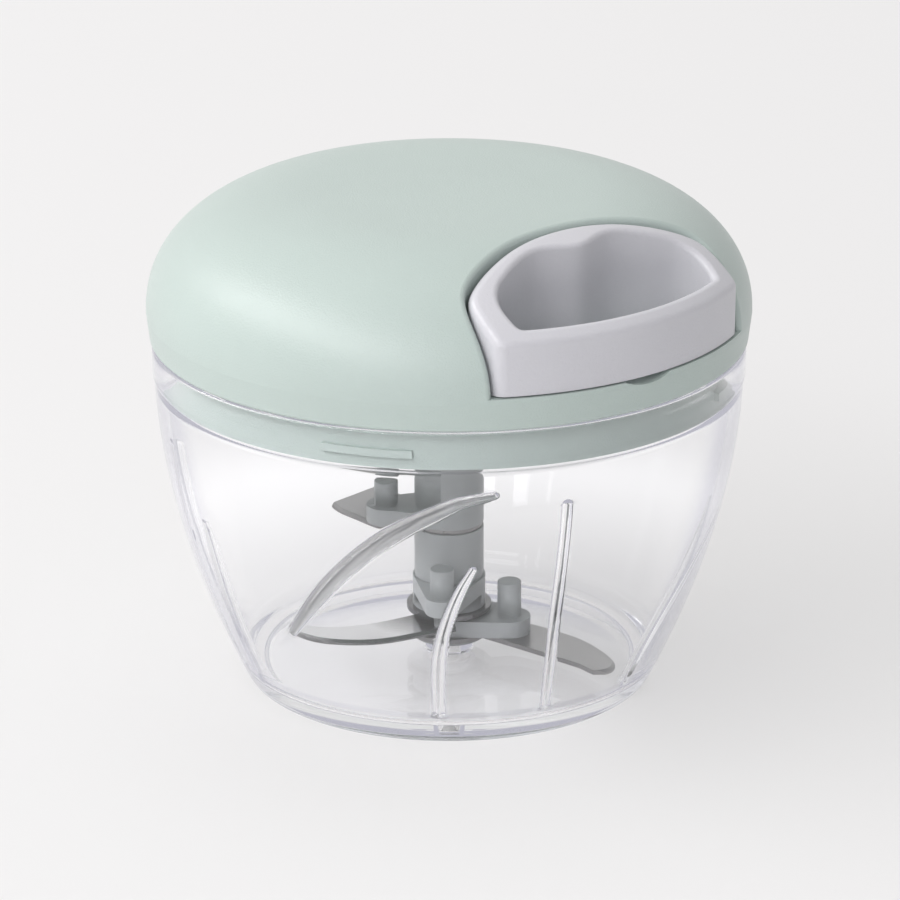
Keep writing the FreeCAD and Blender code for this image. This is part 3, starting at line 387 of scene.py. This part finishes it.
def clear_plastic(name):
    """Clear plastic, painted grey where the piece's own attribute paints in a reflection of the dark tower,
    and painted lavender where its wall is seen edge-on.
    """
    material, nodes, links = plain_nodes(name)
    shader = nodes["Principled BSDF"]
    shader.inputs["IOR"].default_value = 1.46
    # The attribute paints the long rib grey and less clear: a painted reflection of the dark tower.
    painted_reflection_share = nodes.new("ShaderNodeAttribute")
    painted_reflection_share.attribute_name = "painted_reflection"
    blend = nodes.new("ShaderNodeMix")
    blend.data_type = "RGBA"
    blend.inputs["A"].default_value = CLEAR_TONE
    blend.inputs["B"].default_value = PAINTED_REFLECTION_TONE
    links.new(painted_reflection_share.outputs["Fac"], blend.inputs["Factor"])
    # Painted reflection: where the wall is seen edge-on its colour turns lavender.
    grazing = nodes.new("ShaderNodeLayerWeight")
    rim = nodes.new("ShaderNodeMapRange")
    rim.interpolation_type = "SMOOTHSTEP"
    rim.inputs["From Min"].default_value = 0.60
    rim.inputs["From Max"].default_value = 0.80
    links.new(grazing.outputs["Facing"], rim.inputs["Value"])
    painted_edge_tint = nodes.new("ShaderNodeMix")
    painted_edge_tint.data_type = "RGBA"
    painted_edge_tint.inputs["B"].default_value = PAINTED_EDGE_TONE
    links.new(rim.outputs["Result"], painted_edge_tint.inputs["Factor"])
    links.new(blend.outputs["Result"], painted_edge_tint.inputs["A"])
    links.new(painted_edge_tint.outputs["Result"], shader.inputs["Base Color"])
    flow = noise(nodes, links, 38.0, 1.0)
    links.new(ramp(nodes, links, flow.outputs["Fac"], 0.0, 0.02), shader.inputs["Roughness"])
    bump(nodes, links, flow.outputs["Fac"], shader, 0.02, 0.0002)
    links.new(ramp(nodes, links, painted_reflection_share.outputs["Fac"], 1.0, 0.45), shader.inputs["Transmission Weight"])
    path = nodes.new("ShaderNodeLightPath")
    spent = nodes.new("ShaderNodeMath")
    spent.operation = "GREATER_THAN"
    spent.inputs[1].default_value = CAUGHT_AFTER
    links.new(path.outputs["Glossy Depth"], spent.inputs[0])
    pale = nodes.new("ShaderNodeEmission")
    pale.inputs["Color"].default_value = CAUGHT_TONE
    held = nodes.new("ShaderNodeMixShader")
    links.new(spent.outputs[0], held.inputs["Fac"])
    links.new(shader.outputs["BSDF"], held.inputs[1])
    links.new(pale.outputs["Emission"], held.inputs[2])
    through = nodes.new("ShaderNodeBsdfTransparent")
    through.inputs["Color"].default_value = (0.96, 0.96, 0.97, 1)
    either = nodes.new("ShaderNodeMixShader")
    links.new(path.outputs["Is Shadow Ray"], either.inputs["Fac"])
    links.new(held.outputs["Shader"], either.inputs[1])
    links.new(through.outputs["BSDF"], either.inputs[2])
    links.new(either.outputs["Shader"], nodes["Material Output"].inputs["Surface"])
    return material


print("caught light counts after", int(CAUGHT_AFTER), "reflections")

# %% [markdown]
# Each slot in the part's record gets its finish here: the mint lid, the pale lavender handle, the
# grey tower, pale moulded bushes, soft seal and steel. The middle blade lies so that it mirrors the
# bright bowl, so it gets a smoother copy of the blade steel painted much brighter: a painted
# reflection of the bowl.

# %% Finishes
finishes = {
    "clear_bowl": clear_plastic("clear_bowl"),
    "mint_plastic": plastic("mint_plastic", (0.472, 0.545, 0.512), 0.34, 0.8, 2600.0),
    "handle_plastic": plastic("handle_plastic", (0.60, 0.592, 0.622), 0.32, 0.8, 1900.0),
    "tower_plastic": plastic("tower_plastic", (0.33, 0.343, 0.347), 0.34, 0.25, 1500.0),
    "white_plastic": plastic("white_plastic", (0.75, 0.75, 0.72), 0.4, 0.1, 1500.0),
    "seal_rubber": plastic("seal_rubber", (0.6, 0.63, 0.62), 0.6, 0.2, 1500.0),
    "cord": plastic("cord", (0.75, 0.75, 0.72), 0.8, 0.3, 2500.0),
    "steel": steel("steel", (0.55, 0.55, 0.56), 0.32),
    "blade_steel": steel("blade_steel", (0.45, 0.442, 0.44), 0.30, (1, 7, 1), 700.0, 0.6),
    # Painted reflection: the middle blade's steel is painted bright for the bowl it mirrors.
    "blade_painted_bright": steel("blade_painted_bright", (0.93, 0.925, 0.93), 0.14, (1, 7, 1), 700.0, 0.22),
    "polished_steel": steel("polished_steel", (0.7, 0.7, 0.72), 0.12),
}
for entry in frame["record"]["subparts"]:
    node = frame["nodes"][entry["node"]]
    node.data.materials.clear()
    node.data.materials.append(finishes[entry["material_slot"]])
print("finishes", sorted(finishes))

# %% [markdown]
# The bowl is one closed skin. Its section is drawn once, from under the foot, up the outside,
# over the rim and down the inside to the hole for the pin, and spun about the upright axis.
# The wall follows a power curve that stands upright at the collar, as the moulded bowl's does.

# %% Bowl section
FLOOR_Z = 4.0
CORNER = 3.0
WALL = 2.3
RIM_Z = 70.5
COLLAR_R = 59.0


def wall_radius(z):
    """Outer radius of the bowl's wall in millimetres."""
    share = min(1.0, max(0.0, (z - 1.5) / 62.0))
    return 41.9 + 16.7 * (1 - (1 - share) ** 1.8)


def arc(centre_r, centre_z, radius, start, end, count):
    """Points of a rounded corner, by degrees from straight out."""
    turns = [math.radians(start + (end - start) * i / count) for i in range(count + 1)]
    return [(centre_r + radius * math.cos(t), centre_z + radius * math.sin(t)) for t in turns]


def steps(low, high, count):
    """Evenly spread values, both ends included."""
    return [low + (high - low) * i / count for i in range(count + 1)]


inner_foot_r = wall_radius(FLOOR_Z + CORNER) - WALL - CORNER
section = [(0, 1.0), (20, 1.0), (36.9, 1.0), (37.4, 0.85), (37.5, 0.5), (37.7, 0.15), (38.2, 0)]
section += [(40.4, 0), (41.0, 0.12), (41.4, 0.5)]
section += [(wall_radius(z), z) for z in steps(1.5, 63.3, 30)]
section += [(58.66, 63.5), (58.9, 63.68), (COLLAR_R, 64.0), (COLLAR_R, 67.0)]
section += arc(COLLAR_R - 0.5, RIM_Z - 0.5, 0.5, 0, 90, 4) + arc(57.2, RIM_Z - 0.5, 0.5, 90, 180, 4)
section += [(56.7, z) for z in steps(69.2, 65.2, 16)] + [(56.7, 63.8), (56.68, 62.6), (56.5, 62.3)]
section += [(wall_radius(z) - WALL, z) for z in steps(61.8, FLOOR_Z + CORNER, 68)]
section += arc(inner_foot_r, FLOOR_Z + CORNER, CORNER, -15, -90, 5)
section += [(r, FLOOR_Z) for r in steps(inner_foot_r - 3, 5.6, 8)]
section += [(4.8, 4.08), (4.6, 4.3), (4.6, 5.9), (4.5, 6.1), (4.3, 6.2), (2.3, 6.2), (2.02, 6.0)]
section += [(2.02, 1.98), (0, 1.98)]


def skin(outline, turns):
    """Closed skin of an outline in radius and height, spun about the upright axis."""
    shell = bmesh.new()
    marks = [shell.verts.new((r * MM, 0, z * MM)) for r, z in outline]
    lines = [shell.edges.new(pair) for pair in zip(marks, marks[1:])]
    bmesh.ops.spin(shell, geom=marks + lines, cent=(0, 0, 0), axis=(0, 0, 1), dvec=(0, 0, 0),
                   angle=math.tau, steps=turns, use_merge=True)
    bmesh.ops.remove_doubles(shell, verts=shell.verts, dist=1e-6)
    bmesh.ops.recalc_face_normals(shell, faces=shell.faces)
    return shell


def finished(shell, name, finish, body, *nodes):
    """Object of a finished skin that stands for the CAD nodes named and moves with a body."""
    for face in shell.faces:
        face.smooth = True
    mesh = bpy.data.meshes.new(name)
    shell.to_mesh(mesh)
    shell.free()
    mesh.materials.append(finishes[finish])
    piece = bpy.data.objects.new(name, mesh)
    scene.collection.objects.link(piece)
    if nodes:
        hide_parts(*nodes)
    if body:
        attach(piece, body)
    return piece


print("bowl section of", len(section), "points")

# %% [markdown]
# Six ribs run over the inner wall. Each is given by places along it: degrees from the pull
# direction, height, and half width, in millimetres. A smooth curve through those places is put
# in a search tree, so that any corner of the skin can ask how far it is from the nearest rib.

# %% Rib lines
RIB_DEPTH = 1.5
RIB_LINES = (
    ((-77.0, 22.6, 0.8), (-70.9, 29.2, 1.4), (-64.6, 36.0, 1.75), (-57.6, 42.8, 1.9), (-52.0, 47.5, 1.9),
     (-46.8, 51.0, 1.7), (-41.8, 53.7, 1.5), (-36.9, 55.9, 1.25), (-30.3, 57.3, 0.7)),
    ((-41.7, 3.0, 1.4), (-41.7, 12.5, 1.4), (-41.4, 19.5, 1.4), (-40.4, 26.0, 1.25), (-38.8, 31.5, 1.1),
     (-36.7, 36.9, 0.95), (-34.2, 41.7, 0.6)),
    ((-12.4, 3.0, 1.15), (-13.6, 10.0, 1.15), (-14.8, 19.0, 1.15), (-15.7, 31.0, 1.15), (-15.6, 53.8, 1.15)),
    ((13.5, 3.0, 1.1), (16.0, 11.5, 1.1), (19.5, 19.5, 1.1), (25.0, 27.0, 1.1), (32.0, 34.0, 1.0),
     (40.0, 39.5, 0.5)),
    ((-100.5, 3.0, 1.1), (-99.2, 32.5, 1.1), (-99.4, 40.8, 0.6)),
    ((-108.5, 3.0, 1.2), (-110.0, 53.8, 1.2)),
)


def smooth_line(marks, count):
    """Closely set points on a curve through the marks."""
    ends = [marks[0], *marks, marks[-1]]
    for four in zip(ends, ends[1:], ends[2:], ends[3:]):
        for t in (i / count for i in range(count)):
            yield [0.5 * (2 * b + (c - a) * t + (2 * a - 5 * b + 4 * c - d) * t ** 2
                          + (3 * b - a - 3 * c + d) * t ** 3) for a, b, c, d in zip(*four)]
    yield list(marks[-1])


def angle_between(a, b):
    """Smallest angle from one direction to another."""
    return (a - b + math.pi) % math.tau - math.pi


rib_trees = []
for line in RIB_LINES:
    marks = list(smooth_line(line, 160))
    middle = math.radians(sum(a for a, _, _ in marks) / len(marks))
    tree = KDTree(len(marks))
    for i, (angle, z, _) in enumerate(marks):
        tree.insert(((math.radians(angle) - middle) * wall_radius(z), z, 0), i)
    tree.balance()
    rib_trees.append((tree, middle, [half for _, _, half in marks]))


def nearest_rib(turn, z):
    """Distance to the nearest rib's line as a share of its half width, that width and its number."""
    found = (9.0, 1.0, 0)
    for number, (tree, middle, halves) in enumerate(rib_trees):
        _, index, away = tree.find((angle_between(turn, middle) * wall_radius(z), z, 0))
        found = min(found, (away / halves[index], halves[index], number))
    return found


print("ribs", len(rib_trees))

# %% [markdown]
# Where a rib passes, the skin gets a finer net, and its corners are moved inward with a rounded
# section, so that the ribs bend light in soft lines as moulded ribs do. The long slanting rib is
# painted grey by its own attribute, a painted reflection of the dark tower behind it. The bayonet
# ledges in the collar are low here, because the photographed collar hardly shows them.

# %% Bowl skin
SKIN_TURNS = 300
RIB_MARGIN = 1.3
RIB_TOP_Z = 61
COLLAR_LOW_Z = 64
COLLAR_HIGH_Z = 68.9
COLLAR_IN_R = 57
LEDGE_Z = 67.3
LEDGE_HALF = 1.3
LEDGE_HEIGHT = 0.12
LEDGE_EVERY = 90.0
LEDGE_SPAN = 24.0
PAINTED_REFLECTION_RIB = 0
PAINTED_REFLECTION_END = -28.0


def on_inner_wall(radius, z):
    """Whether a corner lies on the inner wall or the floor, where ribs can run."""
    return FLOOR_Z + 0.4 < z < RIB_TOP_Z and 5 < radius < wall_radius(z) - WALL + 0.2


shell = skin(section, SKIN_TURNS)
on_wall = {}
for vert in shell.verts:
    radius, z = math.hypot(vert.co.x, vert.co.y) / MM, vert.co.z / MM
    if on_inner_wall(radius, z):
        on_wall[vert] = nearest_rib(math.atan2(vert.co.x, -vert.co.y), z)
close = {vert for vert, (share, half, _) in on_wall.items() if (share - 1) * half < RIB_MARGIN}
lines = [edge for edge in shell.edges if close.issuperset(edge.verts)]
bmesh.ops.subdivide_edges(shell, edges=lines, cuts=4, use_grid_fill=True)
painted_reflection = shell.verts.layers.float.new("painted_reflection")
moved = 0
for vert in shell.verts:
    radius, z = math.hypot(vert.co.x, vert.co.y) / MM, vert.co.z / MM
    turn = math.atan2(vert.co.x, -vert.co.y)
    settled = radius
    if COLLAR_LOW_Z < z < COLLAR_HIGH_Z and radius < COLLAR_IN_R:
        step_in = math.degrees(turn) % LEDGE_EVERY
        along = min(step_in / 1.5, (LEDGE_SPAN - step_in) / 6.0)
        across = math.cos(min(1.0, abs(z - LEDGE_Z) / LEDGE_HALF) * math.pi / 2) ** 2
        settled = radius - LEDGE_HEIGHT * min(1.0, max(0.0, along)) * across
    elif on_inner_wall(radius, z):
        share, half, number = nearest_rib(turn, z)
        if z > FLOOR_Z + CORNER:
            settled = wall_radius(z) - WALL
        if share < 1:
            swell = 1 - share * share
            settled -= RIB_DEPTH * min(1.0, half / 1.2) * min(1.0, (z - FLOOR_Z) / CORNER) * swell
            # Painted reflection: this rib is painted grey where the dark tower shows in it.
            if number == PAINTED_REFLECTION_RIB:
                fade = min(1.0, (PAINTED_REFLECTION_END - math.degrees(turn)) / 14)
                vert[painted_reflection] = 0.85 * min(1.0, 2.5 * swell) * fade
    if abs(settled - radius) > 0.02:
        moved += 1
    if settled != radius:
        vert.co.x *= settled / radius
        vert.co.y *= settled / radius
bowl_skin = finished(shell, "bowl_skin", "clear_bowl", "bowl_body", "bowl")
print("bowl skin", len(bowl_skin.data.polygons), "faces,", moved, "corners moved")

# %% [markdown]
# The arms, collars and blades come from the frame with knife-sharp corners. Moulded and ground
# parts have a small radius there, and that radius is what catches the light.
# Each part's own surface is joined up, its flat faces are made whole, and its outer corners are
# rounded. Normals weighted by area keep the flat faces flat.

# %% Soft corners
MOULDED_CORNER = 0.25
GROUND_CORNER = 0.08


def softened(node, finish, body, radius):
    """Piece with the form of a CAD node and rounded outer corners."""
    shell = bmesh.new()
    shell.from_mesh(frame["nodes"][node].data)
    shell.transform(frame["nodes"][node].matrix_world)
    bmesh.ops.remove_doubles(shell, verts=shell.verts, dist=2e-6)
    bmesh.ops.dissolve_limit(shell, angle_limit=math.radians(0.6), verts=shell.verts, edges=shell.edges)
    corners = [edge for edge in shell.edges if edge.is_manifold and edge.is_convex
               and edge.calc_face_angle() > math.radians(35)]
    bmesh.ops.bevel(shell, geom=corners, offset=radius * MM, offset_type="OFFSET", segments=2,
                    profile=0.5, affect="EDGES", clamp_overlap=True, material=-1)
    bmesh.ops.remove_doubles(shell, verts=shell.verts, dist=1e-6)
    bmesh.ops.recalc_face_normals(shell, faces=shell.faces)
    piece = finished(shell, node + "_soft", finish, body, node)
    weighted = piece.modifiers.new("weighted", "WEIGHTED_NORMAL")
    weighted.weight = 50
    return piece


for node in ("lower_arm", "middle_arm", "upper_arm", "tower_sleeve", "tower_core", "tower_nut"):
    softened(node, "tower_plastic", "blade_body", MOULDED_CORNER)
for node in ("lower_blade", "upper_blade"):
    softened(node, "blade_steel", "blade_body", GROUND_CORNER)
softened("middle_blade", "blade_painted_bright", "blade_body", GROUND_CORNER)

# %% [markdown]
# The pull cord is a braid of pale strands. Two sets of slanting waves stand for the strands: where
# either is high the cord is pale and raised, and the gaps are rougher and painted darker, a
# painted shade between the strands.

# %% Braid


def braid(name):
    """Braided cord: two sets of slanting strands, a soft sheen and painted shade in the gaps."""
    material, nodes, links = plain_nodes(name)
    shader = nodes["Principled BSDF"]
    shader.inputs["Sheen Weight"].default_value = 0.3
    place = nodes.new("ShaderNodeTexCoord")
    waves = []
    for slant in (1, -1):
        tilt = nodes.new("ShaderNodeMapping")
        tilt.inputs["Rotation"].default_value = (0.5 * slant, 0, 0.8 * slant)
        wave = nodes.new("ShaderNodeTexWave")
        wave.inputs["Scale"].default_value = 420.0
        wave.inputs["Distortion"].default_value = 0.4
        links.new(place.outputs["Object"], tilt.inputs["Vector"])
        links.new(tilt.outputs["Vector"], wave.inputs["Vector"])
        waves.append(wave.outputs["Fac"])
    weave = nodes.new("ShaderNodeMath")
    weave.operation = "MAXIMUM"
    links.new(waves[0], weave.inputs[0])
    links.new(waves[1], weave.inputs[1])
    # Painted shade: the gaps between the strands take the darker colour.
    colour = nodes.new("ShaderNodeMix")
    colour.data_type = "RGBA"
    colour.inputs["A"].default_value = (0.52, 0.52, 0.49, 1)
    colour.inputs["B"].default_value = (0.80, 0.80, 0.77, 1)
    links.new(weave.outputs[0], colour.inputs["Factor"])
    links.new(colour.outputs["Result"], shader.inputs["Base Color"])
    links.new(ramp(nodes, links, weave.outputs[0], 0.9, 0.65), shader.inputs["Roughness"])
    bump(nodes, links, weave.outputs[0], shader, 0.6, 0.0002)
    return material


finishes["cord"] = braid("cord_braid")
print("cord finish", finishes["cord"].name)

# %% [markdown]
# The stretch through the eyelet is the only part of the cord that shows, and only when the handle
# is out. It is a tube of short steps that runs between lid and handle. A ring of the cord's
# section is the start of every tube here, and spins and short moves carry its open end on.

# %% Cord through the eyelet
lead_low, lead_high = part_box("cord_lead")
CORD_R = (lead_high.x - lead_low.x) / 2
cord_z = (lead_low.z + lead_high.z) / 2


def cord_ring(at, along, sides=20):
    """Ring of the cord's section, square to its run."""
    tube = bmesh.new()
    turn = along.to_track_quat("Z", "Y").to_matrix().to_4x4()
    bmesh.ops.create_circle(tube, cap_ends=False, segments=sides, radius=CORD_R,
                            matrix=Matrix.Translation(at) @ turn)
    return tube, list(tube.verts) + list(tube.edges)


def run_on(tube, ends, centre, axis, angle, count, climb=0.0):
    """Spin the open end of a cord on and return its new end."""
    made = bmesh.ops.spin(tube, geom=ends, cent=centre, axis=axis, dvec=(0, 0, climb / count),
                          angle=angle, steps=count)
    return made["geom_last"]


def move_on(tube, ends, matrix):
    """Extrude the open end of a cord and carry the new end along by a matrix."""
    made = bmesh.ops.extrude_edge_only(tube, edges=[g for g in ends if isinstance(g, bmesh.types.BMEdge)])
    bmesh.ops.transform(tube, verts=[g for g in made["geom"] if isinstance(g, bmesh.types.BMVert)],
                        matrix=matrix)
    return [g for g in made["geom"] if not isinstance(g, bmesh.types.BMFace)]


def close_ends(tube):
    """Cap a cord's open ends."""
    bmesh.ops.holes_fill(tube, edges=[e for e in tube.edges if e.is_boundary], sides=0)
    bmesh.ops.recalc_face_normals(tube, faces=tube.faces)


tube, ends = cord_ring(Vector((0, lead_high.y, cord_z)), Vector((0, -1, 0)))
for i in range(40):
    ends = move_on(tube, ends, Matrix.Translation((0, (lead_low.y - lead_high.y) / 40, 0)))
close_ends(tube)
cord_stretch = finished(tube, "cord_stretch", "cord", None, "cord_lead")
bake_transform(cord_stretch)

print("cord radius", round(CORD_R / MM, 2), "mm")

# %% [markdown]
# From the eyelet the cord bends onto the drum. Its first turn lies level with the eyelet and
# belongs to the lid, because that end stands still. The other turns lie above it on the drum and
# turn with the drum. The two are separate tubes, which nobody sees under the closed cover.

# %% Turns on the drum
turns_low, turns_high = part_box("cord_winding")
SPOOL_R = (turns_high.x - turns_low.x) / 2 - CORD_R
BEND_R = 0.005
reach = -lead_high.y
bend = math.asin((SPOOL_R + BEND_R) / math.hypot(reach, BEND_R)) - math.atan2(BEND_R, reach)
along = Vector((-math.sin(bend), math.cos(bend), 0))
bend_end = Vector((-BEND_R * (1 - math.cos(bend)), -reach + BEND_R * math.sin(bend), 0))
leave = bend_end - along * bend_end.dot(along)


tube, ends = cord_ring(Vector((0, -reach, cord_z)), Vector((0, 1, 0)))
ends = run_on(tube, ends, (-BEND_R, -reach, cord_z), (0, 0, 1), bend, 12)
for i in range(8):
    ends = move_on(tube, ends, Matrix.Translation((leave - bend_end) / 8))
run_on(tube, ends, (0, 0, cord_z), (0, 0, -1), math.radians(330), 110)
close_ends(tube)
finished(tube, "cord_first_turn", "cord", "lid_body", "cord_run")

first_level = turns_low.z + CORD_R
climb = turns_high.z - CORD_R - first_level
tube, ends = cord_ring(Vector((leave.x, leave.y, first_level)), along)
ends = run_on(tube, ends, (0, 0, 0), (0, 0, -1), math.radians(300), 100)
ends = run_on(tube, ends, (0, 0, 0), (0, 0, -1), math.radians(45), 24, climb)
run_on(tube, ends, (0, 0, 0), (0, 0, -1), math.radians(190), 64)
close_ends(tube)
finished(tube, "cord_turns", "cord", "reel_body", "cord_winding")

print("drum radius to the cord's middle", round(SPOOL_R / MM, 2), "mm")

# %% [markdown]
# The cord ends in an overhand knot inside the handle, pulled tight. A trefoil curve gives its path,
# and each step of the tube is turned to follow it.

# %% Knot
knot_low, knot_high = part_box("cord_knot")
knot_at = (knot_low + knot_high) / 2
KNOT_SCALE = (knot_high.x - knot_low.x) / 2 * 0.185
STRAND_R = (knot_high.x - knot_low.x) / 2 * 0.4


def knot_frame(share):
    """Place and direction on a pulled-tight overhand knot."""
    t = share * math.tau
    place = Vector((math.cos(t) - 2 * math.cos(2 * t), -math.sin(3 * t), math.sin(t) + 2 * math.sin(2 * t)))
    ahead = Vector((-math.sin(t) + 4 * math.sin(2 * t), -3 * math.cos(3 * t),
                    math.cos(t) + 4 * math.cos(2 * t)))
    turn = ahead.to_track_quat("Z", "Y").to_matrix().to_4x4()
    return Matrix.Translation(knot_at + place * KNOT_SCALE) @ turn


tube = bmesh.new()
bmesh.ops.create_circle(tube, cap_ends=False, segments=20, radius=STRAND_R, matrix=knot_frame(0))
ends = list(tube.verts) + list(tube.edges)
KNOT_STEPS = 90
for i in range(KNOT_STEPS - 1):
    ends = move_on(tube, ends, knot_frame((i + 1) / KNOT_STEPS) @ knot_frame(i / KNOT_STEPS).inverted())
close_ends(tube)
finished(tube, "cord_end_knot", "cord", "handle_body", "cord_knot")
